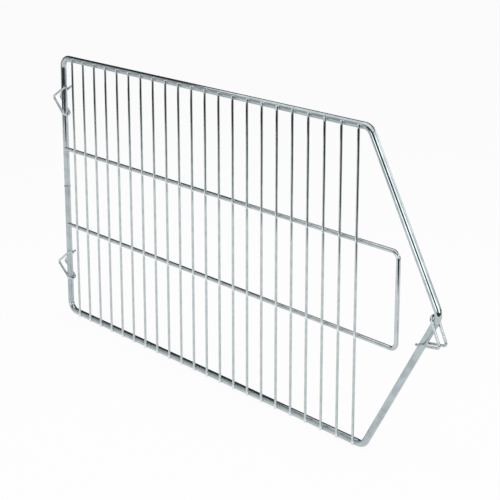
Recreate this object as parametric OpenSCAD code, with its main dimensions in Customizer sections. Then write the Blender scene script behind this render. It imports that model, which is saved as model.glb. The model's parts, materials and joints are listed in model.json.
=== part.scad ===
// Hook-in divider panel for a wire mesh container.
// One bent rod makes the closed frame, upright wires and a stiffener loop are welded across it,
// and three forked wire hooks hold the panel to the container's walls.
// The origin is on the rear rod's axis at the lower rear hook. +X runs to the nose, +Y away from the
// uprights and +Z up.

/* [Frame] */
// Height of the frame between its top and bottom rod axes
frame_h = 350; // [250:5:450]
// Length from the rear rod axis to the corners where the nose slopes start
frame_l = 565; // [300:5:800]
// Lean of the two nose slopes from upright, in degrees
nose_lean = 30; // [20:1:40]
// Diameter of the frame rod
rod_d = 8; // [6:0.5:10]
// Centre-line radius of the bends in the frame rod
rod_bend_r = 13; // [10:0.5:18]
// Round section of the flash ring at the rod's butt weld
flash_d = 3; // [2:0.25:3]
// Height of the flash ring over the rod
flash_h = 0.6; // [0.2:0.1:1]

/* [Uprights] */
// Diameter of the upright wires
wire_d = 3; // [2:0.25:4]
// Spacing of the upright wires
wire_pitch = 25; // [15:1:50]
// Distance from the rear rod axis to the first upright
first_wire = 28.5; // [20:0.5:40]
// How far an upright's ends stand past the rod axes that carry it
wire_end = 2.5; // [1:0.25:4]

/* [Stiffener loop] */
// Diameter of the stiffener loop's wire
loop_d = 5; // [4:0.5:6]
// Spacing of the loop's two level legs
loop_h = 105; // [60:5:140]
// How far the loop's end leg stands past the corners where the nose slopes start
loop_reach = 45; // [20:5:55]
// Centre-line radius of the loop's two bends
loop_bend_r = 8; // [6:0.5:12]

/* [Hooks] */
// Diameter of the hook wire
hook_d = 3; // [2.5:0.25:4]
// Angle between the arm and the leg of a hook's V, in degrees
hook_angle = 72; // [64:1:74]
// Length of a hook's legs from the V's sharp corner to where they join round the rod
hook_leg = 28; // [24:1:34]
// Length of a hook's arms from the V's sharp corner to their free ends
hook_arm = 33; // [30:1:40]
// Centre-line radius of the bend at the V's corner
hook_bend_r = 3; // [3:0.25:5]
// How far a hook's legs run past the rod axis before they join round the rod
hook_lead = 2; // [2:0.5:5]
// Height of the lower rear hook over the bottom rod axis
hook_low = 65; // [40:1:90]
// Depth of the upper rear hook under the top rod axis
hook_high = 54; // [40:1:80]
// Distance of the nose hook from the nose's corner, down the lower slope
hook_nose_run = 24; // [24:1:60]
// Turn of the upper rear hook on its rod, in degrees
tilt_upper = 6; // [-8:1:8]
// Turn of the lower rear hook on its rod, in degrees
tilt_lower = 0; // [-8:1:8]
// Turn of the nose hook on its rod, in degrees
tilt_nose = -3; // [-8:1:8]

/* [Welds and ends] */
// Depth to which a wire sinks into the one it is spot welded to
weld_sink = 0.4; // [0.2:0.1:0.6]
// Bevel on the cropped wire ends
crop_bevel = 0.4; // [0.1:0.1:0.8]
// Radius that a bar loses where it is stretched round a bend
bend_thinning = 0.05; // [0.04:0.01:0.1]

/* [Hidden] */
$fn = 48;
zinc_rod = [0.72, 0.75, 0.77];
zinc_wire = [0.78, 0.80, 0.82];
zinc_hook = [0.66, 0.69, 0.71];

// Levels of the rod axes
bottom_z = -hook_low;
top_z = bottom_z + frame_h;
middle_z = bottom_z + frame_h / 2;

// Corners of the nose: both slopes lean alike and meet at half height
nose_x = frame_l + frame_h / 2 * tan(nose_lean);
corner_trim = rod_bend_r * tan((90 - nose_lean) / 2);

// Uprights lie on the front of the rods, and the loop's legs lie behind the uprights
wire_y = -(rod_d + wire_d) / 2 + weld_sink;
loop_y = wire_y + (wire_d + loop_d) / 2 - weld_sink;

// The last upright still stands on the straight part of the top and bottom rods
last_wire_max = frame_l - corner_trim - wire_d / 2;
wire_count = 1 + floor((last_wire_max - first_wire) / wire_pitch);

// Legs and arms of a hook pass the rod on both sides
hook_y = (rod_d + hook_d) / 2 - weld_sink;

// How far a bend's thinner section runs on inside the straight bars
bend_lap = 0.4;

// Corner lists, in the panel's own plane as [x, z], counter-clockwise seen from the front
frame_corners = [
    [0, bottom_z],
    [frame_l, bottom_z],
    [nose_x, middle_z],
    [frame_l, top_z],
    [0, top_z]
];
loop_corners = [
    [0, middle_z - loop_h / 2],
    [frame_l + loop_reach, middle_z - loop_h / 2],
    [frame_l + loop_reach, middle_z + loop_h / 2],
    [0, middle_z + loop_h / 2]
];

// The V of a hook as [out from the rod, along the rod], from the free end to the closed end. A hook that is
// turned on its rod keeps its shape and its closed end's seat, so its corner moves in or out
function leg_lean(tilt) = hook_angle / 2 + tilt;
function hook_corner(tilt) = [hook_leg * cos(leg_lean(tilt)) - hook_lead, 0];
function hook_corners(tilt) =
    let (arm_lean = hook_angle - leg_lean(tilt))
    [
        hook_corner(tilt) - hook_arm * [cos(arm_lean), sin(arm_lean)],
        hook_corner(tilt),
        [-hook_lead, hook_leg * sin(leg_lean(tilt))]
    ];

function wire_name(i) = str("wire_", i < 10 ? "0" : "", i);

// Heading of the run from one point to the next, and the left turn from one run to the next
function heading(a, b) = atan2(b[1] - a[1], b[0] - a[0]);
function left_turn(a, b, c) = (heading(b, c) - heading(a, b) + 540) % 360 - 180;

// Turn at corner i of a list, which is 0 at the free ends of an open one
function corner_turn(p, i, closed) =
    !closed && (i == 0 || i == len(p) - 1)
        ? 0
        : left_turn(p[(i + len(p) - 1) % len(p)], p[i], p[(i + 1) % len(p)]);

// Length of the runs that the bend at corner i takes up
function bend_run(p, i, bend_r, closed) = bend_r * tan(abs(corner_turn(p, i, closed)) / 2);

// Stands a shape drawn in the XY plane up in the panel's plane
module in_panel() {
    rotate([90, 0, 0]) children();
}

// Straight bar along +Z, with a bevel on its first end where that end is a cropped one
module bar(length, d, bevel = 0) {
    if (bevel > 0)
        rotate_extrude()
            polygon([[0, 0], [d / 2 - bevel, 0], [d / 2, bevel], [d / 2, length], [0, length]]);
    else
        cylinder(d = d, h = length);
}

// Arc of a bar's thinner section about the Z axis, from the X axis on, lapped into the bars at both ends
module bent_section(turn, d, bend_r) {
    lap = bend_lap / bend_r * 180 / PI;
    rotate([0, 0, -lap])
        rotate_extrude(angle = turn + 2 * lap)
            translate([bend_r, 0])
                circle(d = d - 2 * bend_thinning);
}

// One bend of a bar: the arc at corner b of the runs a-b and b-c
module bend(a, b, c, d, bend_r) {
    turn = left_turn(a, b, c);
    side = sign(turn);
    in_dir = heading(a, b);
    run = bend_r * tan(abs(turn) / 2);
    start = b - run * [cos(in_dir), sin(in_dir)];
    centre = start + side * bend_r * [-sin(in_dir), cos(in_dir)];
    first = side > 0 ? in_dir - 90 : in_dir + 90 + turn;
    translate([centre[0], centre[1], 0])
        rotate([0, 0, first])
            bent_section(abs(turn), d, bend_r);
}

// Round bar bent along a list of corners in the XY plane
module bent_bar(p, d, bend_r, closed = false, bevel = 0) {
    n = len(p);
    for (i = [0 : closed ? n - 1 : n - 2]) {
        next = (i + 1) % n;
        dir = heading(p[i], p[next]);
        skip = bend_run(p, i, bend_r, closed);
        length = norm(p[next] - p[i]) - skip - bend_run(p, next, bend_r, closed);
        translate([p[i][0], p[i][1], 0])
            rotate([0, 90, dir])
                translate([0, 0, skip])
                    bar(length, d, i == 0 ? bevel : 0);
    }
    for (i = [closed ? 0 : 1 : closed ? n - 1 : n - 2])
        bend(p[(i + n - 1) % n], p[i], p[(i + 1) % n], d, bend_r);
}

// The closed frame rod without its flash ring
module frame_bar() {
    in_panel() bent_bar(frame_corners, rod_d, rod_bend_r, closed = true);
}

// The stiffener loop before its legs are coped round the rear rod
module loop_bar() {
    translate([0, loop_y, 0])
        in_panel() bent_bar(loop_corners, loop_d, loop_bend_r);
}

module frame_rod() {
    color(zinc_rod) {
        frame_bar();
        translate([0, 0, middle_z])
            rotate_extrude()
                translate([(rod_d - flash_d) / 2 + flash_h, 0])
                    circle(d = flash_d);
    }
}

module stiffener_loop() {
    color(zinc_rod)
        difference() {
            loop_bar();
            frame_bar();
        }
}

// Upright number i, counted from the rear, seated on the rods and on the loop's legs
module upright(i) {
    length = frame_h + 2 * wire_end;
    color(zinc_wire)
        difference() {
            translate([first_wire + (i - 1) * wire_pitch, wire_y, middle_z])
                for (flip = [0, 180])
                    rotate([flip, 0, 0])
                        translate([0, 0, -length / 2])
                            bar(length / 2, wire_d, crop_bevel);
            frame_bar();
            loop_bar();
        }
}

// Forked hook in its own place: +X out from the rod, +Z along the rod to the closed end
module hook_wire(tilt) {
    p = hook_corners(tilt);
    for (side = [-1, 1])
        translate([0, side * hook_y, 0])
            in_panel() bent_bar(p, hook_d, hook_bend_r, bevel = crop_bevel);
    translate([p[2][0], 0, p[2][1]])
        rotate([0, leg_lean(tilt), 0])
            rotate([0, 0, 90])
                bent_section(180, hook_d, hook_y);
}

// Hook seated on the frame: its corner stands out from a point of a rod's axis, along the rod's normal
module hook(x, z, normal, tilt) {
    color(zinc_hook)
        difference() {
            translate([x, 0, z])
                rotate([0, normal, 0])
                    hook_wire(tilt);
            frame_bar();
        }
}

module hook_rear_upper() {
    hook(0, top_z - hook_high, 180, tilt_upper);
}

module hook_rear_lower() {
    hook(0, bottom_z + hook_low, 180, tilt_lower);
}

module hook_nose() {
    hook(
        nose_x - hook_nose_run * sin(nose_lean),
        middle_z - hook_nose_run * cos(nose_lean),
        nose_lean,
        tilt_nose
    );
}

frame_rod();
stiffener_loop();
for (i = [1 : wire_count])
    upright(i);
hook_rear_upper();
hook_rear_lower();
hook_nose();
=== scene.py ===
"""Looks of a hook-in divider panel for a wire mesh container.

The panel is cold drawn steel wire, spot welded and then zinc plated as one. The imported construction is
loaded as a fixed frame, and every wire of it is drawn again at its own place and size as a finer sweep,
with cropped ends, electrode marks and weld collars. Lengths are in metres, and names that end in _mm or
_MM are in millimetres.
"""

import json
import logging
import math
import random
from collections.abc import Callable, Sequence
from dataclasses import dataclass, field
from enum import Enum

import bpy
from bpy.types import Material, Node, NodeSocket, NodeTree, Object, World
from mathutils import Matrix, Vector


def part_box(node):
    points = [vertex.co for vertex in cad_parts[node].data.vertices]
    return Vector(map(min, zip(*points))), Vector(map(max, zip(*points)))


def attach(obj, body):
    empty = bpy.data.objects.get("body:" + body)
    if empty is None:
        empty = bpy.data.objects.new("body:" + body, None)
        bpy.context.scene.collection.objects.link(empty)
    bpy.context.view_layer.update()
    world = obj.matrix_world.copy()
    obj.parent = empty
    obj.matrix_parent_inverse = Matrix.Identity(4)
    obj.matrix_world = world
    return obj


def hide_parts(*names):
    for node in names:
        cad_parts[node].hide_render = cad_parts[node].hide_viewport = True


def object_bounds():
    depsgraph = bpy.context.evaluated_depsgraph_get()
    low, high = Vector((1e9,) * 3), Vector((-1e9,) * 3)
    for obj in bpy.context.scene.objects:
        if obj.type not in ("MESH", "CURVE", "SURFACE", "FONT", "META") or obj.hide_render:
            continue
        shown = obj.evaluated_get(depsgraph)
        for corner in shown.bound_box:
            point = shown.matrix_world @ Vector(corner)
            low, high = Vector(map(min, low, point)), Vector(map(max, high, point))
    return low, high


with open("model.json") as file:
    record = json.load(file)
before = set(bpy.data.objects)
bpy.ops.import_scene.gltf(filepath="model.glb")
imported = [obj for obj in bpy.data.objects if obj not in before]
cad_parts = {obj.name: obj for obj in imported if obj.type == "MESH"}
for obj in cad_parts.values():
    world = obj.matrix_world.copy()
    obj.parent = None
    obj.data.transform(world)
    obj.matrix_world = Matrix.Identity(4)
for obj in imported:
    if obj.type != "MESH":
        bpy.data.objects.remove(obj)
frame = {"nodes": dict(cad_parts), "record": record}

LOG = logging.getLogger("divider_panel")
CAD_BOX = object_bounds()
SCENE = bpy.context.scene
BODY = "root"
MM = 0.001

# Bevel on the cropped wire ends, and depth to which a wire sinks into the one it is spot welded to.
CROP_BEVEL = 0.4 * MM
WELD_SINK = 0.4 * MM

FRONT = Vector((0.0, -1.0, 0.0))
BACK = Vector((0.0, 1.0, 0.0))
UP = Vector((0.0, 0.0, 1.0))
NOSEWARD = Vector((1.0, 0.0, 0.0))

# Materials of a wire's own surface and of its welds.
Plates = tuple[Material, Material]


def linear(hex_colour: str) -> tuple[float, float, float, float]:
    """Turns an sRGB hex colour into linear light.

    Args:
        hex_colour: Six hex digits after a hash sign.

    Returns:
        Red, green, blue and an alpha of 1.
    """
    parts = [int(hex_colour[i:i + 2], 16) / 255 for i in (1, 3, 5)]
    red, green, blue = (p / 12.92 if p <= 0.04045 else ((p + 0.055) / 1.055) ** 2.4 for p in parts)
    return red, green, blue, 1.0


def add_node(
    tree: NodeTree,
    kind: str,
    settings: dict[str, object] | None = None,
    inputs: dict[str | int, object] | None = None,
) -> Node:
    """Adds a shader node with its settings, its plain input values and its links.

    Args:
        tree: The node tree to add to.
        kind: Blender's name of the node type.
        settings: Properties of the node, by name.
        inputs: Values by socket, where a socket of another node makes a link.

    Returns:
        The new node.
    """
    node = tree.nodes.new(kind)
    for name, value in (settings or {}).items():
        setattr(node, name, value)
    for key, value in (inputs or {}).items():
        if isinstance(value, NodeSocket):
            tree.links.new(value, node.inputs[key])
        else:
            node.inputs[key].default_value = value
    return node


def add_math(tree: NodeTree, operation: str, *values: object, clamp: bool = False) -> NodeSocket:
    """Adds a math node.

    Args:
        tree: The node tree to add to.
        operation: Blender's name of the operation.
        values: Its inputs, each a number or a socket of another node.
        clamp: Whether the result stays between 0 and 1.

    Returns:
        The socket with the result.
    """
    settings = {"operation": operation, "use_clamp": clamp}
    return add_node(tree, "ShaderNodeMath", settings, dict(enumerate(values))).outputs["Value"]


def clear_tree(owner: Material | World) -> NodeTree:
    """Gives a new material or world an empty node tree.

    Args:
        owner: The material or world.

    Returns:
        Its node tree.
    """
    owner.use_nodes = True
    owner.node_tree.nodes.clear()
    return owner.node_tree


def add_mesh(name: str, points: Sequence[Vector], faces: Sequence[tuple[int, ...]]) -> Object:
    """Adds a mesh object to the scene.

    Args:
        name: Name of the object.
        points: Its vertices.
        faces: Vertex numbers of its faces.

    Returns:
        The new object.
    """
    mesh = bpy.data.meshes.new(name)
    mesh.from_pydata([tuple(point) for point in points], [], faces)
    made = bpy.data.objects.new(name, mesh)
    SCENE.collection.objects.link(made)
    return made


def smooth(value: float) -> float:
    """Gives an even ramp from 0 to 1 for a value from 0 to 1."""
    t = min(max(value, 0.0), 1.0)
    return t * t * (3.0 - 2.0 * t)


def turns(count: int) -> list[float]:
    """Gives evenly spaced angles round a full turn."""
    return [math.tau * i / count for i in range(count)]


class Coat(Enum):
    """Surfaces that a wire's mesh can wear, by material index."""

    PLATE = 0
    WELD = 1


class CutEnd(Enum):
    """How a wire's sweep ends."""

    CROPPED = "cropped"
    JOINED = "joined"


@dataclass(frozen=True)
class ZincPlate:
    """Bright zinc plate on drawn steel wire.

    Attributes:
        name: Name of the material.
        bright: Colour of the clean plate.
        cloud: Colour where the passivation film is thicker.
        roughness: Roughness of the clean plate.
        line_mm: Spacing of the drawing die's marks, coarser than real ones, which are too fine to show.
        cloud_mm: Width of the cloudy patches.
        line_depth_mm: Depth of the drawing marks.
        weld_share: How far the plate takes on its colour close to a weld.
        weld_tint_and_highlight: Colour of the plate close to a weld. Where it is darker than the plate it
            is a weld tint; where it is paler, as on the thin wire, it is a painted highlight.
    """

    name: str
    bright: str
    cloud: str
    roughness: float
    line_mm: float
    cloud_mm: float
    line_depth_mm: float
    weld_share: float
    weld_tint_and_highlight: str

    # Drawing marks: length in widths, range of the noise, swing in roughness and strength of the bump.
    LINE_STRETCH = 90
    LINE_RANGE = (0.3, 0.7)
    LINE_ROUGHNESS = 0.03
    LINE_STRENGTH = 0.35
    # Passivation film: range of the noise, greatest share and roughness that it adds.
    FILM_RANGE = (0.38, 0.68)
    FILM_MOST = 0.8
    FILM_ROUGHNESS = 0.08

    def material(self) -> Material:
        """Builds the plate's material.

        Returns:
            A metal whose marks follow the wire round its bends.
        """
        made = bpy.data.materials.new(self.name)
        tree = clear_tree(made)
        drawn = add_node(tree, "ShaderNodeAttribute", {"attribute_name": "drawn"}).outputs["Vector"]
        weld = add_node(tree, "ShaderNodeAttribute", {"attribute_name": "weld"}).outputs["Fac"]

        across = 1 / (self.line_mm * MM)
        scale = (across, across, across / self.LINE_STRETCH)
        place = add_node(tree, "ShaderNodeMapping", {}, {"Vector": drawn, "Scale": scale})
        noise = {"Vector": place.outputs["Vector"], "Scale": 1.0, "Detail": 3.0, "Roughness": 0.6}
        marks = add_node(tree, "ShaderNodeTexNoise", {}, noise).outputs["Fac"]
        noise = {"Vector": drawn, "Scale": 1 / (self.cloud_mm * MM), "Detail": 4.0, "Roughness": 0.55}
        clouds = add_node(tree, "ShaderNodeTexNoise", {}, noise).outputs["Fac"]
        low, high = self.FILM_RANGE
        ramp = {"Value": clouds, "From Min": low, "From Max": high, "To Max": self.FILM_MOST}
        settings = {"interpolation_type": "SMOOTHSTEP"}
        film = add_node(tree, "ShaderNodeMapRange", settings, ramp).outputs["Result"]

        colour = linear(self.bright)
        # Close to a weld the colour moves to weld_tint_and_highlight: a weld tint on most plates, a
        # painted highlight on the thin wire.
        near_weld = add_math(tree, "MULTIPLY", weld, self.weld_share, clamp=True)
        for share, tint in ((film, self.cloud), (near_weld, self.weld_tint_and_highlight)):
            mix = {"Factor": share, 6: colour, 7: linear(tint)}
            colour = add_node(tree, "ShaderNodeMix", {"data_type": "RGBA"}, mix).outputs[2]

        low, high = self.LINE_RANGE
        swing = self.LINE_ROUGHNESS
        ramp = {"Value": marks, "From Min": low, "From Max": high, "To Min": -swing, "To Max": swing}
        lines = add_node(tree, "ShaderNodeMapRange", {}, ramp).outputs["Result"]
        filmed = add_math(tree, "MULTIPLY_ADD", film, self.FILM_ROUGHNESS, lines)
        slope = {"Height": marks, "Strength": self.LINE_STRENGTH, "Distance": self.line_depth_mm * MM}
        look = {
            "Base Color": colour,
            "Metallic": 1.0,
            "Roughness": add_math(tree, "ADD", filmed, self.roughness, clamp=True),
            "Normal": add_node(tree, "ShaderNodeBump", {}, slope).outputs["Normal"],
        }
        shader = add_node(tree, "ShaderNodeBsdfPrincipled", {}, look).outputs["BSDF"]
        add_node(tree, "ShaderNodeOutputMaterial", {}, {"Surface": shader})
        return made


# Clear passivated zinc on drawn rod: a cool grey mirror, softened, with faint marks along the rod.
ROD_PLATE = ZincPlate(
    name="zinc_plated_drawn_rod", bright="#B8C2C4", cloud="#A0ABAE", roughness=0.06,
    line_mm=0.5, cloud_mm=14.0, line_depth_mm=0.006, weld_share=0.5, weld_tint_and_highlight="#A0ABAE",
)
# The loop's thinner rod wears the frame's zinc painted paler, a painted light that makes its legs read as
# a light band under one dark line.
LOOP_PLATE = ZincPlate(
    name="zinc_plated_thin_rod", bright="#C7CFD1", cloud="#B3BCBF", roughness=0.06,
    line_mm=0.4, cloud_mm=12.0, line_depth_mm=0.004, weld_share=0.5, weld_tint_and_highlight="#B3BCBF",
)
# The thin wire is drawn harder than the rod, so it is brighter and its marks are closer. Close to each
# crossing its plate turns paler, a painted highlight that stands in for the glint off the electrode marks.
WIRE_PLATE = ZincPlate(
    name="zinc_plated_drawn_wire", bright="#C4CCCE", cloud="#B1B9BC", roughness=0.06,
    line_mm=0.35, cloud_mm=10.0, line_depth_mm=0.003, weld_share=1.2, weld_tint_and_highlight="#DDE3E5",
)
# Bent and hand welded hooks come out of the bath less even and less smooth.
HOOK_PLATE = ZincPlate(
    name="zinc_plated_bent_wire", bright="#CCD4D6", cloud="#ABB5B8", roughness=0.09,
    line_mm=0.35, cloud_mm=6.0, line_depth_mm=0.008, weld_share=0.6, weld_tint_and_highlight="#ABB5B8",
)
# Weld metal freezes rough under the plate: matt, pale and grainy.
WELD_PLATE = ZincPlate(
    name="zinc_plated_weld_metal", bright="#D2D8DA", cloud="#B0B8BC", roughness=0.38,
    line_mm=0.6, cloud_mm=1.6, line_depth_mm=0.12, weld_share=0.2, weld_tint_and_highlight="#B0B8BC",
)


@dataclass(frozen=True)
class Station:
    """One place along a swept wire.

    Attributes:
        centre: Point on the wire's axis.
        side: First axis of the round section.
        other: Second axis of the round section.
        along: Distance from the wire's first end.
    """

    centre: Vector
    side: Vector
    other: Vector
    along: float


@dataclass(frozen=True)
class Corner:
    """A sharp corner of a wire's axis, and the radius that it is bent to unless it is a free end."""

    at: Vector
    bend_r: float = 0.0


@dataclass
class BentLine:
    """The axis of a wire that runs straight between bent corners.

    Attributes:
        corners: The corners in order, with the free ends of an open line.
        closed: Whether the last corner runs on to the first one.
        step: Longest distance between stations on a straight run.
        bend_turn: Turn between stations round a bend, in degrees.
        dense_at: Points beside which stations lie closer.
        dense_mm: Distances of those stations from such a point.
    """

    corners: Sequence[Corner]
    closed: bool = False
    step: float = 20 * MM
    bend_turn: float = 5.0
    dense_at: Sequence[Vector] = ()
    dense_mm: Sequence[float] = ()

    # Stations closer than this are one.
    MEET = 0.001 * MM

    def _bend(self, index: int) -> list[tuple[Vector, Vector]]:
        """Gives the points and headings round one corner.

        Args:
            index: Place of the corner in the list.

        Returns:
            Pairs of a point and a unit heading, or one pair at a free end.
        """
        count = len(self.corners)
        here = self.corners[index].at
        if not self.closed and index in (0, count - 1):
            other = self.corners[1 if index == 0 else count - 2].at
            heading = (other - here if index == 0 else here - other).normalized()
            return [(here, heading)]
        into = (here - self.corners[index - 1].at).normalized()
        out = (self.corners[(index + 1) % count].at - here).normalized()
        turn = into.angle(out)
        bend_r = self.corners[index].bend_r
        start = here - into * bend_r * math.tan(turn / 2)
        inward = (out - into * into.dot(out)).normalized()
        steps = max(2, round(math.degrees(turn) / self.bend_turn))
        pairs = []
        for i in range(steps + 1):
            angle = turn * i / steps
            point = start + into * bend_r * math.sin(angle) + inward * bend_r * (1 - math.cos(angle))
            pairs.append((point, into * math.cos(angle) + inward * math.sin(angle)))
        return pairs

    def _run(self, start: Vector, end: Vector) -> list[tuple[Vector, Vector]]:
        """Gives the points and headings of the inner stations on a straight run.

        Args:
            start: First point of the run.
            end: Last point of the run.

        Returns:
            Pairs of a point and a unit heading, in order.
        """
        length = (end - start).length
        heading = (end - start).normalized()
        dense = [d * MM for d in self.dense_mm]
        gap = min(dense[1:], default=self.step) / 2
        wanted = []
        for point in self.dense_at:
            place = (point - start).dot(heading)
            if (point - start - heading * place).length < self.step:
                wanted += [place + sign * d for d in dense for sign in (-1, 1)]
        steps = math.ceil(length / self.step)
        wanted += [length * i / steps for i in range(1, steps)]
        kept: list[float] = []
        for place in sorted(w for w in wanted if gap < w < length - gap):
            if not kept or place - kept[-1] > gap:
                kept.append(place)
        return [(start + heading * place, heading) for place in kept]

    def stations(self) -> list[Station]:
        """Walks the axis and carries the section along without twist, from the panel's back on.

        Returns:
            The stations in order. A closed line's last one isn't its first again.
        """
        pairs: list[tuple[Vector, Vector]] = []
        for index in range(len(self.corners)):
            bend = self._bend(index)
            if pairs and (bend[0][0] - pairs[-1][0]).length < self.MEET:
                bend = bend[1:]
            elif pairs:
                pairs += self._run(pairs[-1][0], bend[0][0])
            pairs += bend
        if self.closed:
            pairs += self._run(pairs[-1][0], pairs[0][0])
        found: list[Station] = []
        side = BACK
        along = 0.0
        for i, (point, heading) in enumerate(pairs):
            along += (point - pairs[i - 1][0]).length if i else 0.0
            side = (side - heading * side.dot(heading)).normalized()
            found.append(Station(point, side, heading.cross(side), along))
        return found


# Gives the offsets of a section's outline at a station and an angle.
Section = Callable[[Station, float], tuple[float, float]]


@dataclass
class MeshSketch:
    """Collects the vertices and faces of one piece before Blender gets them.

    Attributes:
        points: Place of each vertex.
        drawn: Place of each vertex in the straight wire, before it was bent.
        weld: Closeness of each vertex to a weld, from 0 to 1.
        faces: Vertex numbers of each face.
        coats: The surface that each face wears.
        corners: Place in the straight wire of each face's corners, in order.
    """

    points: list[Vector] = field(default_factory=list)
    drawn: list[Vector] = field(default_factory=list)
    weld: list[float] = field(default_factory=list)
    faces: list[tuple[int, ...]] = field(default_factory=list)
    coats: list[Coat] = field(default_factory=list)
    corners: list[Vector] = field(default_factory=list)

    # Edges that turn by more degrees than this are sharp.
    SHARP_TURN = 50.0

    def ring(self, points: Sequence[Vector], drawn: Sequence[Vector], weld: float = 0.0) -> list[int]:
        """Adds one ring of vertices.

        Args:
            points: Places of the vertices.
            drawn: Their places in the straight wire.
            weld: Their closeness to a weld.

        Returns:
            The new vertices' numbers.
        """
        first = len(self.points)
        self.points += points
        self.drawn += drawn
        self.weld += [weld] * len(points)
        return list(range(first, len(self.points)))

    def skin(self, rings: Sequence[Sequence[int]], coat: Coat, closing: Vector | None = None) -> None:
        """Joins rings of equal length with four-sided faces.

        Args:
            rings: Vertex numbers, ring by ring.
            coat: The surface that the faces wear.
            closing: How far the straight wire has run on where the last ring joins the first, or none
                where it doesn't.
        """
        pairs = [(low, high, Vector()) for low, high in zip(rings, rings[1:])]
        if closing is not None:
            pairs.append((rings[-1], rings[0], closing))
        for low, high, run_on in pairs:
            for i in range(len(low)):
                j = (i + 1) % len(low)
                self.faces.append((low[i], low[j], high[j], high[i]))
                self.coats.append(coat)
                self.corners += [self.drawn[low[i]], self.drawn[low[j]]]
                self.corners += [self.drawn[high[j]] + run_on, self.drawn[high[i]] + run_on]

    def cap(self, ring: Sequence[int], flip: bool) -> None:
        """Closes a ring with one flat plated face.

        Args:
            ring: Vertex numbers round the face.
            flip: Whether the face looks back along the wire.
        """
        face = tuple(ring[::-1] if flip else ring)
        self.faces.append(face)
        self.coats.append(Coat.PLATE)
        self.corners += [self.drawn[v] for v in face]

    def piece(self, name: str, plates: Plates) -> Object:
        """Makes the sketch a Blender object.

        Args:
            name: Name of the piece.
            plates: Materials of the wire and of its welds.

        Returns:
            The object, linked to the scene.
        """
        made = add_mesh(name, self.points, self.faces)
        mesh = made.data
        for plate in plates:
            mesh.materials.append(plate)
        mesh.polygons.foreach_set("material_index", [coat.value for coat in self.coats])
        mesh.polygons.foreach_set("use_smooth", [True] * len(self.faces))
        drawn = mesh.attributes.new("drawn", "FLOAT_VECTOR", "CORNER")
        drawn.data.foreach_set("vector", [c for place in self.corners for c in place])
        weld = mesh.attributes.new("weld", "FLOAT", "POINT")
        weld.data.foreach_set("value", self.weld)
        mesh.update()
        mesh.set_sharp_from_angle(angle=math.radians(self.SHARP_TURN))
        return made


@dataclass(frozen=True)
class CrossWeld:
    """A spot weld where one round wire lies across another.

    Attributes:
        centre: Point on the lower wire's axis under the crossing.
        normal: Direction from the lower wire to the upper one.
        upper: Heading and radius of the upper wire.
        lower: Heading and radius of the lower wire.
        throat: Height of the weld metal squeezed into the gap.
    """

    centre: Vector
    normal: Vector
    upper: tuple[Vector, float]
    lower: tuple[Vector, float]
    throat: float

    SPOKES = 24
    EDGE_STEPS = 30
    BURY = 0.04 * MM
    # Shares of a radius: where a height is still taken, and how far weld metal runs across and along.
    BESIDE_SHARE = 0.97
    FLANK_SHARE = 0.72
    REACH_SHARE = 2.2
    # The collar's foot as a share of its throat, and its core and hollow as shares of its width.
    FOOT_SHARE = 0.7
    CORE_SHARE = 0.8
    HOLLOW_SHARE = 0.35
    # Differences between collars, and the waves round each one.
    SIZES = (0.85, 1.2)
    SLOW_WAVE = 0.18
    QUICK_WAVE = 0.08
    FOOT_WAVE = 0.25

    def _heights(self, out: float, way: Vector) -> tuple[float, float]:
        """Gives the surfaces that bound the gap at one place.

        Args:
            out: Distance from the weld's middle.
            way: Unit heading from the middle, in the plane between the wires.

        Returns:
            Height of the lower wire's top and of the upper wire's underside.
        """
        rises = []
        for heading, radius in (self.lower, self.upper):
            beside = min(abs(way.dot(self.normal.cross(heading))) * out, radius * self.BESIDE_SHARE)
            rises.append(math.sqrt(radius**2 - beside**2))
        return rises[0], self.lower[1] + self.upper[1] - WELD_SINK - rises[1]

    def _edge(self, way: Vector, throat: float) -> float:
        """Finds how far out the gap has opened to the weld's height.

        Args:
            way: Unit heading from the weld's middle.
            throat: Height of the weld metal there.

        Returns:
            Distance from the weld's middle.
        """
        heading, radius = self.lower
        beside = abs(way.dot(self.normal.cross(heading)))
        flank = self.FLANK_SHARE * radius
        reach = self.REACH_SHARE * self.upper[1]
        near, far = 0.0, flank / max(beside, flank / reach)
        for _ in range(self.EDGE_STEPS):
            middle = (near + far) / 2
            low, high = self._heights(middle, way)
            near, far = (near, middle) if high - low > throat else (middle, far)
        return near

    def draw(self, sketch: MeshSketch, chance: random.Random) -> None:
        """Adds the collar of weld metal round the crossing.

        Args:
            sketch: The piece that carries the weld.
            chance: Source of the small differences between welds.
        """
        along = self.upper[0]
        across = self.normal.cross(along)
        wave = chance.uniform(0, math.tau)
        size = self.throat * chance.uniform(*self.SIZES)
        loops: list[list[Vector]] = [[], [], [], []]
        for angle in turns(self.SPOKES):
            way = along * math.cos(angle) + across * math.sin(angle)
            slow = self.SLOW_WAVE * math.sin(2 * angle + wave)
            quick = self.QUICK_WAVE * math.sin(5 * angle - wave)
            throat = size * (1 + slow + quick)
            edge = self._edge(way, throat)
            foot = edge + throat * self.FOOT_SHARE * (1 + self.FOOT_WAVE * math.sin(3 * angle + wave))
            core = edge * self.CORE_SHARE
            low, high = self._heights(edge, way)
            heights = [
                (core, sum(self._heights(core, way)) / 2),
                (foot, self._heights(foot, way)[0] - self.BURY),
                (edge + (foot - edge) * self.HOLLOW_SHARE, low + (high - low) * self.HOLLOW_SHARE),
                (edge, high + self.BURY),
            ]
            for loop, (out, height) in zip(loops, heights):
                loop.append(self.centre + way * out + self.normal * height)
        rings = [sketch.ring(loop, loop, 1.0) for loop in loops]
        sketch.skin(rings, Coat.WELD, Vector())


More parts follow.
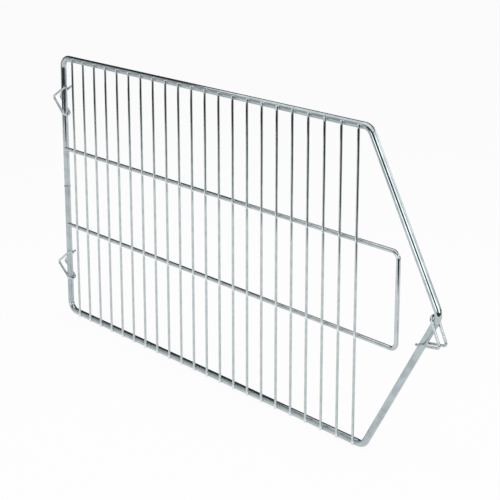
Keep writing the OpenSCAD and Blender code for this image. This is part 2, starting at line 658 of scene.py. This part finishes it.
@dataclass
class Wire:
    """A round wire that is swept along its axis.

    Attributes:
        radius: Radius of the wire.
        sides: Number of flats round the section.
        line: The wire's axis.
        ends: How its free ends are made.
        welds: Welds that this wire's mesh carries.
        weld_points: Points beside which the plate takes on its near-weld colour, which on the uprights is
            a painted highlight.
        weld_reach: Distance over which that fades.
    """

    radius: float
    sides: int
    line: BentLine
    ends: CutEnd = CutEnd.CROPPED
    welds: Sequence[CrossWeld] = ()
    weld_points: Sequence[Vector] = ()
    weld_reach: float = 5 * MM

    # Rings of a cropped end as shares of radius and bevel. The shear rolls one side in and tears the face.
    CROP_RINGS = ((0.86, 0.62), (0.66, 1.0), (0.3, 0.9))
    TORN_SHARE = 0.8
    TORN_GRAIN = 0.05
    ROLL = 0.45
    ROLL_SHARE = 1.2

    def closeness(self, point: Vector) -> float:
        """Gives a point's closeness to the nearest weld, from 0 to 1."""
        nearest = min(((point - w).length for w in self.weld_points), default=self.weld_reach)
        return smooth(1 - nearest / self.weld_reach)

    def sketch(self, chance: random.Random, section: Section | None = None) -> MeshSketch:
        """Sweeps the wire and adds its welds.

        Args:
            chance: Source of the small differences between pieces.
            section: Outline of the section, or none for a true circle.

        Returns:
            The finished sketch.
        """
        made = MeshSketch()
        stations = self.line.stations()
        rings = []
        for station in stations:
            points, drawn = [], []
            for angle in turns(self.sides):
                a, b = self.radius * math.cos(angle), self.radius * math.sin(angle)
                if section:
                    a, b = section(station, angle)
                points.append(station.centre + station.side * a + station.other * b)
                drawn.append(Vector((a, b, station.along)))
            rings.append(made.ring(points, drawn, self.closeness(station.centre)))
        last = stations[-1]
        if self.line.closed:
            length = last.along + (stations[0].centre - last.centre).length
            made.skin(rings, Coat.PLATE, Vector((0, 0, length)))
        else:
            made.skin(rings, Coat.PLATE)
            self._finish_end(made, stations[0], rings[0], True, chance)
            self._finish_end(made, last, rings[-1], False, chance)
        for weld in self.welds:
            weld.draw(made, chance)
        return made

    def _finish_end(
        self, made: MeshSketch, station: Station, ring: list[int], first: bool, chance: random.Random
    ) -> None:
        """Closes one end of the sweep.

        Args:
            made: The sketch to add to.
            station: The last place along the sweep.
            ring: Vertex numbers of the last ring.
            first: Whether this is the wire's first end.
            chance: Source of the small differences between ends.
        """
        if self.ends is CutEnd.JOINED:
            made.cap(ring, first)
            return
        way = station.other.cross(station.side) if first else station.side.cross(station.other)
        roll = chance.uniform(0, math.tau)
        grain = self.TORN_GRAIN * CROP_BEVEL
        rings = [ring]
        for share, rise in self.CROP_RINGS:
            points, drawn = [], []
            for angle in turns(self.sides):
                rolled = (1 + math.cos(angle - roll)) / 2
                height = CROP_BEVEL * rise * (1 - self.ROLL * rolled * (self.ROLL_SHARE - share))
                if share < self.TORN_SHARE:
                    height += chance.uniform(-grain, grain)
                offset = station.side * math.cos(angle) + station.other * math.sin(angle)
                points.append(station.centre + offset * self.radius * share + way * height)
                drawn.append(Vector((math.cos(angle), math.sin(angle), 0)) * self.radius * share)
            rings.append(made.ring(points, drawn))
        made.skin([ring[::-1] for ring in rings] if first else rings, Coat.PLATE)
        made.cap(rings[-1], first)


def replace_node(made: MeshSketch, node: str, plates: Plates) -> None:
    """Puts a finished piece in the scene in its node's stead.

    Args:
        made: The piece's mesh.
        node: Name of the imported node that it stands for.
        plates: Materials of the wire and of its welds.
    """
    piece = made.piece("plated_" + node, plates)
    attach(piece, BODY)
    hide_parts(node)
    LOG.info("%s: %d faces", piece.name, len(made.faces))


@dataclass
class FrameRod:
    """The closed frame rod with its flash butt weld.

    Attributes:
        radius: Radius of the rod.
        bend_r: Centre-line radius of its bends.
        straight_l: Length from the rear rod axis to where the nose slopes start.
        nose_lean: Lean of the nose slopes from upright, in degrees.
        flash_h: Height of the flash ring over the rod.
        flash_w: Width of the flash ring along the rod.
        mark_depth: Depth of the electrode marks on the rod's back.
        mark_l: Half length of an electrode mark.
    """

    radius: float = 4 * MM
    bend_r: float = 13 * MM
    straight_l: float = 565 * MM
    nose_lean: float = 30.0
    flash_h: float = 0.6 * MM
    flash_w: float = 1.5 * MM
    mark_depth: float = 0.14 * MM
    mark_l: float = 2.6 * MM

    SIDES = 48
    SEED = 11
    STATIONS_MM = (0, 0.5, 1.0, 1.5, 2.2, 3.0)
    # Waves round the flash ring: share of its height, number and start.
    FLASH_WAVES = ((0.12, 3, 0.0), (0.08, 7, 1.0))

    def __post_init__(self) -> None:
        """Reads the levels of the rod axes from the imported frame."""
        low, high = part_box("frame_rod")
        self.bottom_z = low.z + self.radius
        self.top_z = high.z - self.radius
        self.middle_z = (self.bottom_z + self.top_z) / 2
        nose_run = (self.top_z - self.middle_z) * math.tan(math.radians(self.nose_lean))
        self.nose_x = self.straight_l + nose_run

    def build(self, crossings: Sequence[Vector], plates: Plates) -> None:
        """Sweeps the rod round its five corners.

        Args:
            crossings: Points on the rod's axis that uprights are welded to.
            plates: Materials of the rod and of its welds.
        """
        spots = [
            (0, self.bottom_z),
            (self.straight_l, self.bottom_z),
            (self.nose_x, self.middle_z),
            (self.straight_l, self.top_z),
            (0, self.top_z),
        ]
        corners = [Corner(Vector((x, 0, z)), self.bend_r) for x, z in spots]
        butt = Vector((0, 0, self.middle_z))
        welds = [*crossings, butt]
        line = BentLine(corners, True, dense_at=welds, dense_mm=self.STATIONS_MM)
        wire = Wire(self.radius, self.SIDES, line, weld_points=welds)

        def section(station: Station, angle: float) -> tuple[float, float]:
            """Swells the rod at the butt weld and flattens its back at the electrode marks.

            Args:
                station: Place along the rod.
                angle: Angle round it.

            Returns:
                Offsets of the outline there.
            """
            radius = self.radius
            from_butt = (station.centre - butt).length
            if from_butt < self.flash_w:
                bead = math.sqrt(1 - (from_butt / self.flash_w) ** 2)
                waves = sum(share * math.sin(n * angle + start) for share, n, start in self.FLASH_WAVES)
                radius += self.flash_h * bead * (1 + waves)
            from_mark = min((station.centre - crossing).length for crossing in crossings)
            limit = radius - self.mark_depth * smooth(1 - from_mark / self.mark_l)
            return min(radius * math.cos(angle), limit), radius * math.sin(angle)

        made = wire.sketch(random.Random(self.SEED), section)
        replace_node(made, "frame_rod", plates)


@dataclass
class StiffenerLoop:
    """The lying U of thinner rod behind the uprights.

    Attributes:
        radius: Radius of its rod.
        bend_r: Centre-line radius of its two bends.
        weld_throat: Height of the weld round a leg's joint with the rear rod.
    """

    radius: float = 2.5 * MM
    bend_r: float = 8 * MM
    weld_throat: float = 0.9 * MM

    SIDES = 36
    SEED = 12
    STATIONS_MM = (0, 0.6, 1.2, 1.8, 2.6)
    WELD_REACH = 4 * MM
    # Collar of a leg's joint: least opening of the gap, waves, hollow, and depths of its edges and core.
    JOINT_SPOKES = 48
    LEAST_OPENING = 0.02
    JOINT_WAVE = 0.12
    HOLLOW_SHARE = 0.3
    BURY = 0.03 * MM
    CORE_BURY = 0.12 * MM

    def __post_init__(self) -> None:
        """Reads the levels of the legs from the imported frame."""
        low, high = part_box("stiffener_loop")
        self.axis_y = low.y + self.radius
        self.low_z = low.z + self.radius
        self.high_z = high.z - self.radius
        self.end_x = high.x - self.radius

    def build(self, rod: FrameRod, crossings: Sequence[Vector], plates: Plates) -> None:
        """Sweeps the loop and welds its legs to the rear rod.

        Args:
            rod: The frame rod that carries the legs.
            crossings: Points on the loop's axis that uprights are welded to.
            plates: Materials of the loop and of its welds.
        """
        spots = [(0, self.low_z), (self.end_x, self.low_z), (self.end_x, self.high_z), (0, self.high_z)]
        corners = [Corner(Vector((x, self.axis_y, z)), self.bend_r) for x, z in spots]
        welds = [*crossings, corners[0].at, corners[3].at]
        line = BentLine(corners, dense_at=crossings, dense_mm=self.STATIONS_MM)
        wire = Wire(self.radius, self.SIDES, line, CutEnd.JOINED, (), welds, self.WELD_REACH)
        made = wire.sketch(random.Random(self.SEED))
        for z in (self.low_z, self.high_z):
            self._joint(made, rod, z)
        replace_node(made, "stiffener_loop", plates)

    def _joint(self, made: MeshSketch, rod: FrameRod, z: float) -> None:
        """Adds the collar of weld metal where a leg meets the rear rod.

        Args:
            made: The sketch to add to.
            rod: The frame rod.
            z: Height of the leg.
        """
        loops: list[list[Vector]] = [[], [], [], []]
        for angle in turns(self.JOINT_SPOKES):
            off_leg = Vector((0, math.cos(angle), math.sin(angle)))
            y = self.axis_y + self.radius * math.cos(angle)
            y = max(-rod.radius, min(y, rod.radius))
            seam = Vector((math.sqrt(rod.radius**2 - y * y), y, z + self.radius * math.sin(angle)))
            off_rod = Vector((seam.x, seam.y, 0)) / rod.radius
            meet = off_leg.dot(off_rod)
            opening = math.sqrt(max(self.LEAST_OPENING, 1 - meet))
            throat = self.weld_throat * opening * (1 + self.JOINT_WAVE * math.sin(3 * angle + z / MM))
            over_rod = (off_leg - off_rod * meet) * throat
            over_leg = NOSEWARD * throat
            foot = seam + over_rod
            level = (rod.radius - self.BURY) / math.hypot(foot.x, foot.y)
            loops[0].append(seam - (off_leg + off_rod) * self.CORE_BURY)
            loops[1].append(Vector((foot.x * level, foot.y * level, foot.z)))
            loops[2].append(seam + (over_rod + over_leg) * self.HOLLOW_SHARE)
            loops[3].append(seam + over_leg - off_leg * self.BURY)
        rings = [made.ring(loop, loop, 1.0) for loop in loops]
        made.skin(rings, Coat.WELD, Vector())


@dataclass(frozen=True)
class LevelRod:
    """A level rod that carries the uprights: the place of its axis and its radius."""

    y: float
    z: float
    radius: float


@dataclass
class UprightWires:
    """The row of upright wires on the front of the rods.

    Attributes:
        radius: Radius of the wires.
        weld_throat: Height of the weld metal in the gap.
        mark_depth: Depth of an electrode mark on a wire's front, as a share of the level rod's radius.
        mark_l: Half length of an electrode mark, as a share of that radius.
    """

    radius: float = 1.5 * MM
    weld_throat: float = 0.45 * MM
    mark_depth: float = 0.11
    mark_l: float = 1.1

    SIDES = 28
    FIRST_SEED = 100
    STEP = 25 * MM
    STATIONS_MM = (0, 0.5, 1.0, 1.6, 2.2, 3.0, 3.8)
    # Reach of the paler plate round each crossing, a painted highlight.
    WELD_REACH = 4 * MM
    # Differences between electrode marks, and how far their metal spreads to the sides.
    MARK_SIZES = (0.75, 1.2)
    MARK_SPREAD = 0.35

    def __post_init__(self) -> None:
        """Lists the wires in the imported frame."""
        self.nodes = sorted(name for name in frame["nodes"] if name.startswith("wire_"))

    def axis(self, node: str) -> tuple[float, float]:
        """Gives the X and Y of an upright's axis."""
        low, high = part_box(node)
        return (low.x + high.x) / 2, low.y + self.radius

    def crossings(self, y: float, levels: Sequence[float]) -> list[Vector]:
        """Gives the points on level rods' axes, at one Y and some levels, that the uprights cross."""
        return [Vector((self.axis(node)[0], y, z)) for node in self.nodes for z in levels]

    def build(self, rod: FrameRod, loop: StiffenerLoop, plates: Plates) -> None:
        """Sweeps every upright with its electrode marks and welds.

        Args:
            rod: The frame rod.
            loop: The stiffener loop.
            plates: Materials of the wires and of their welds.
        """
        carriers = [LevelRod(0.0, z, rod.radius) for z in (rod.top_z, rod.bottom_z)]
        carriers += [LevelRod(loop.axis_y, z, loop.radius) for z in (loop.high_z, loop.low_z)]
        for number, node in enumerate(self.nodes):
            self._wire(node, random.Random(self.FIRST_SEED + number), carriers, plates)

    def _wire(
        self, node: str, chance: random.Random, carriers: Sequence[LevelRod], plates: Plates
    ) -> None:
        """Sweeps one upright.

        Args:
            node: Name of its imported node.
            chance: Source of the small differences between wires.
            carriers: The level rods that carry it.
            plates: Materials of the wire and of its welds.
        """
        x, y = self.axis(node)
        low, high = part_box(node)
        ends = [Corner(Vector((x, y, z))) for z in (low.z + CROP_BEVEL, high.z - CROP_BEVEL)]
        marks = [Vector((x, y, carrier.z)) for carrier in carriers]
        welds = []
        for carrier in carriers:
            centre = Vector((x, carrier.y, carrier.z))
            lower = (NOSEWARD, carrier.radius)
            welds.append(CrossWeld(centre, FRONT, (UP, self.radius), lower, self.weld_throat))
        line = BentLine(ends, step=self.STEP, dense_at=marks, dense_mm=self.STATIONS_MM)
        wire = Wire(self.radius, self.SIDES, line, CutEnd.CROPPED, welds, marks, self.WELD_REACH)
        sizes = [chance.uniform(*self.MARK_SIZES) for _ in carriers]
        depths = [self.mark_depth * carrier.radius * size for carrier, size in zip(carriers, sizes)]

        def section(station: Station, angle: float) -> tuple[float, float]:
            """Flattens the front of the wire at its electrode marks, and spreads its sides there.

            Args:
                station: Place along the wire.
                angle: Angle round it.

            Returns:
                Offsets of the outline there.
            """
            a, b = self.radius * math.cos(angle), self.radius * math.sin(angle)
            for carrier, depth in zip(carriers, depths):
                press = smooth(1 - abs(station.centre.z - carrier.z) / (self.mark_l * carrier.radius))
                a = max(a, -(self.radius - depth * press))
                b *= 1 + self.MARK_SPREAD * depth / self.radius * press
            return a, b

        made = wire.sketch(chance, section)
        replace_node(made, node, plates)


@dataclass
class ForkedHook:
    """A hook of one wire: an arm and a leg in a V, carried round the rod and back as a second V.

    Attributes:
        node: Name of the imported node, which is its mount's name too.
        tilt: Turn of the hook on its rod, in degrees.
        radius: Radius of the wire.
        angle: Angle between the arm and the leg, in degrees.
        leg: Length of the leg from the V's sharp corner to where the legs join.
        arm: Length of the arm from the V's sharp corner to its free end.
        bend_r: Centre-line radius of the V's bend.
        lead: How far the legs run past the rod axis before they join.
        weld_throat: Height of the weld metal in the gap.
    """

    node: str
    tilt: float
    radius: float = 1.5 * MM
    angle: float = 72.0
    leg: float = 28 * MM
    arm: float = 33 * MM
    bend_r: float = 3 * MM
    lead: float = 2 * MM
    weld_throat: float = 0.5 * MM

    SIDES = 32
    STEP = 3 * MM
    BEND_TURN = 7.5

    def __post_init__(self) -> None:
        """Reads the hook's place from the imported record's mount."""
        mount = next(m for m in frame["record"]["mounts"] if m["name"] == self.node)
        foot, out = Vector(mount["pos_m"]), Vector(mount["axis"])
        leg_lean = math.radians(self.angle / 2 + self.tilt)
        arm_lean = math.radians(self.angle / 2 - self.tilt)
        self.rod_way = Vector((-out.z, 0, out.x))
        self.leg_way = self.rod_way * math.sin(leg_lean) - out * math.cos(leg_lean)
        self.arm_way = -self.rod_way * math.sin(arm_lean) - out * math.cos(arm_lean)
        stand = self.leg * math.cos(leg_lean) - self.lead
        self.corner = foot + out * stand
        ways = (self.arm_way, self.leg_way)
        self.crossings = [(way, self.corner - way * stand / way.dot(out)) for way in ways]

    def build(self, rod: FrameRod, plates: Plates) -> None:
        """Sweeps the hook and welds it to its rod on both sides.

        Args:
            rod: The frame rod.
            plates: Materials of the hook and of its welds.
        """
        leg_y = rod.radius + self.radius - WELD_SINK
        free = self.corner + self.arm_way * (self.arm - CROP_BEVEL)
        web = self.corner + self.leg_way * (self.leg + leg_y)
        corners = []
        for y, order in ((-leg_y, 1), (leg_y, -1)):
            side = Vector((0, y, 0))
            bend = Corner(self.corner + side, self.bend_r)
            corners += [Corner(free + side), bend, Corner(web + side, leg_y)][::order]
        welds, points = [], []
        for way, crossing in self.crossings:
            for normal in (FRONT, BACK):
                points.append(crossing + normal * leg_y)
                upper, lower = (way, self.radius), (self.rod_way, rod.radius)
                welds.append(CrossWeld(crossing, normal, upper, lower, self.weld_throat))
        line = BentLine(corners, step=self.STEP, bend_turn=self.BEND_TURN)
        wire = Wire(self.radius, self.SIDES, line, welds=welds, weld_points=points)
        made = wire.sketch(random.Random(self.node))
        replace_node(made, self.node, plates)


@dataclass(frozen=True)
class Camera:
    """The camera, fitted to the photograph's own view of the panel.

    Attributes:
        lens_mm: Focal length on Blender's sensor of 36 mm.
        turn: Turn round the panel, in degrees.
        pitch: Tilt below level, in degrees.
        shift_y: Lens shift that keeps the uprights close to parallel.
        at: Place of the camera.
    """

    lens_mm: float = 98.14
    turn: float = 49.321
    pitch: float = 14.097
    shift_y: float = -0.16
    at: tuple[float, float, float] = (1.5094, -0.9726, 0.5789)

    def build(self) -> None:
        """Adds the camera and makes it the scene's own."""
        data = bpy.data.cameras.new("camera")
        data.lens = self.lens_mm
        data.shift_y = self.shift_y
        made = bpy.data.objects.new("camera", data)
        made.location = self.at
        made.rotation_euler = (math.radians(90 - self.pitch), 0, math.radians(self.turn))
        SCENE.collection.objects.link(made)
        SCENE.camera = made


@dataclass(frozen=True)
class SoftLamp:
    """A soft lamp with an even face.

    Attributes:
        name: Name of the lamp.
        at: Middle of its face.
        aim: Point that it faces.
        width: Width of its face.
        height: Height of its face.
        level: Brightness of its face, where 1 is that of white paper.
    """

    name: str
    at: tuple[float, float, float]
    aim: tuple[float, float, float]
    width: float
    height: float
    level: float

    def build(self) -> None:
        """Adds the lamp to the scene."""
        data = bpy.data.lights.new(self.name, "AREA")
        data.shape = "RECTANGLE"
        data.size, data.size_y = self.width, self.height
        data.energy = self.level * math.pi * self.width * self.height
        made = bpy.data.objects.new(self.name, data)
        made.location = self.at
        made.rotation_euler = (Vector(self.aim) - Vector(self.at)).to_track_quat("-Z", "Y").to_euler()
        made.visible_camera = False
        SCENE.collection.objects.link(made)


@dataclass
class Studio:
    """A white table in a dark studio with soft lamps.

    Attributes:
        floor_z: Height of the table.
        table_half: Half width of the table.
        table_share: Share of the table's white that doesn't depend on the lamps.
        table_level: Brightness of that share.
        table_edge: X and Y of the line where the mirrored table ends and the dark floor starts.
        dark_lift: Height of the dark floor over the table, so that mirrored rays meet the floor first.
        dark_level: Brightness of the dark floor and walls as the plate mirrors them.
        walls_r: Radius of the dark walls' dome.
        walls_x: Place of the dome's middle.
        world_light: Brightness of the world as light.
        world_seen: Brightness of the world where it is seen or mirrored.
        lamps: The soft lamps.
    """

    floor_z: float
    table_half: float = 4.0
    table_share: float = 0.95
    table_level: float = 0.98
    table_edge: tuple[tuple[float, float], ...] = (
        (-1.6, -0.65), (-0.48, -1.05), (-0.12, -1.42), (0.33, -1.5), (0.55, -1.2), (0.76, -0.68),
        (0.9, -0.55), (0.99, -0.42), (1.18, -0.1), (1.4, 0.1), (1.4, 0.8), (2.2, 1.5),
    )
    dark_lift: float = 2 * MM
    dark_level: float = 0.045
    walls_r: float = 3.0
    walls_x: float = 0.3
    world_light: float = 0.6
    world_seen: float = 0.95
    lamps: tuple[SoftLamp, ...] = (
        SoftLamp("overhead", (0.36, -0.1, 0.92), (0.36, -0.1, 0.0), 1.68, 1.0, 1.2),
        SoftLamp("front", (0.7, -2.2, 0.38), (0.7, 0.0, 0.38), 1.8, 0.85, 2.0),
        SoftLamp("right", (2.565, -0.1, 0.97), (0.765, -0.1, -0.08), 2.0, 1.65, 2.0),
        SoftLamp("left_board", (-1.15, -1.3, 0.79), (0.45, 0.0, 0.79), 1.9, 1.7, 0.55),
        SoftLamp("back_board", (1.6, 1.9, 1.15), (0.6, 0.0, 0.2), 1.3, 1.1, 1.7),
        SoftLamp("back_wall", (0.5, 2.15, 0.75), (0.5, 0.0, 0.75), 1.2, 0.6, 1.8),
    )

    DOME_TURNS = 32
    DOME_LEVELS = 10

    def build(self) -> None:
        """Adds the table, the walls, the lamps and the world."""
        self._world()
        self._table()
        self._walls()
        for lamp in self.lamps:
            lamp.build()

    def _world(self) -> None:
        """Makes the world white for the camera and for mirrored rays, and softer as light."""
        world = bpy.data.worlds.new("studio_world")
        SCENE.world = world
        tree = clear_tree(world)
        ramp = {"Value": self._seen(tree), "To Min": self.world_light, "To Max": self.world_seen}
        strength = add_node(tree, "ShaderNodeMapRange", {}, ramp).outputs["Result"]
        light = {"Color": linear("#FFFFFF"), "Strength": strength}
        back = add_node(tree, "ShaderNodeBackground", {}, light).outputs["Background"]
        add_node(tree, "ShaderNodeOutputWorld", {}, {"Surface": back})

    def _seen(self, tree: NodeTree) -> NodeSocket:
        """Gives 1 for rays that show the background: camera, mirrored and transmitted ones.

        Args:
            tree: The node tree to add to.

        Returns:
            The socket with that value.
        """
        rays = add_node(tree, "ShaderNodeLightPath").outputs
        direct = add_math(tree, "MAXIMUM", rays["Is Camera Ray"], rays["Is Glossy Ray"])
        return add_math(tree, "MAXIMUM", direct, rays["Is Transmission Ray"])

    def _table(self) -> None:
        """Adds the white table, which keeps a faint shadow."""
        r = self.table_half
        spots = [Vector((x, y, self.floor_z)) for x, y in ((-r, -r), (r, -r), (r, r), (-r, r))]
        table = add_mesh("table", spots, [(0, 1, 2, 3)])
        paper = bpy.data.materials.new("matt_white_paper")
        tree = clear_tree(paper)
        matt = add_node(tree, "ShaderNodeBsdfDiffuse", {}, {"Color": linear("#F4F4F4")}).outputs["BSDF"]
        glow = add_node(tree, "ShaderNodeEmission", {}, {"Strength": self.table_level}).outputs[0]
        share = add_math(tree, "MULTIPLY", self._seen(tree), self.table_share)
        mixed = add_node(tree, "ShaderNodeMixShader", {}, {0: share, 1: matt, 2: glow}).outputs["Shader"]
        add_node(tree, "ShaderNodeOutputMaterial", {}, {"Surface": mixed})
        table.data.materials.append(paper)

    def _walls(self) -> None:
        """Adds the dark floor in front of the table and the dark walls, which only the plate mirrors."""
        dark = bpy.data.materials.new("charcoal_studio_cloth")
        tree = clear_tree(dark)
        cloth = add_node(tree, "ShaderNodeEmission", {}, {"Strength": self.dark_level}).outputs[0]
        add_node(tree, "ShaderNodeOutputMaterial", {}, {"Surface": cloth})
        r = self.walls_r
        first_x, last_y = self.table_edge[0][0], self.table_edge[-1][1]
        edge = [*self.table_edge, (r, last_y), (r, -r), (first_x, -r)]
        points = [Vector((x, y, self.floor_z + self.dark_lift)) for x, y in edge]
        floor = add_mesh("dark_floor", points, [tuple(range(len(edge)))])
        for card in (floor, self._dome()):
            card.data.materials.append(dark)
            card.visible_camera = False
            card.visible_shadow = False
            card.visible_diffuse = False

    def _dome(self) -> Object:
        """Adds the half globe of the walls.

        Returns:
            The new object.
        """
        middle = Vector((self.walls_x, 0, self.floor_z))
        sketch = MeshSketch()
        rings = []
        for level in range(self.DOME_LEVELS + 1):
            tilt = math.pi / 2 * level / self.DOME_LEVELS
            points = []
            for turn in turns(self.DOME_TURNS):
                out = Vector((math.cos(turn), math.sin(turn), 0)) * math.cos(tilt)
                points.append(middle + (out + UP * math.sin(tilt)) * self.walls_r)
            rings.append(sketch.ring(points, points))
        sketch.skin(rings, Coat.PLATE)
        return add_mesh("dark_walls", sketch.points, sketch.faces)


def main() -> None:
    """Builds the panel piece by piece, then the camera and the studio."""
    logging.basicConfig(level=logging.INFO, format="%(name)s: %(message)s")
    weld_metal = WELD_PLATE.material()
    rod_plates = (ROD_PLATE.material(), weld_metal)
    loop_plates = (LOOP_PLATE.material(), weld_metal)
    wire_plates = (WIRE_PLATE.material(), weld_metal)
    hook_plates = (HOOK_PLATE.material(), weld_metal)

    rod = FrameRod()
    loop = StiffenerLoop()
    uprights = UprightWires()
    hook_tilts = {"hook_rear_upper": 6.0, "hook_rear_lower": 0.0, "hook_nose": -3.0}
    rod.build(uprights.crossings(0.0, (rod.bottom_z, rod.top_z)), rod_plates)
    loop.build(rod, uprights.crossings(loop.axis_y, (loop.low_z, loop.high_z)), loop_plates)
    uprights.build(rod, loop, wire_plates)
    for node, tilt in hook_tilts.items():
        ForkedHook(node, tilt).build(rod, hook_plates)

    Camera().build()
    Studio(CAD_BOX[0].z).build()
    SCENE.view_settings.view_transform = "Standard"


if __name__ == "__main__":
    main()
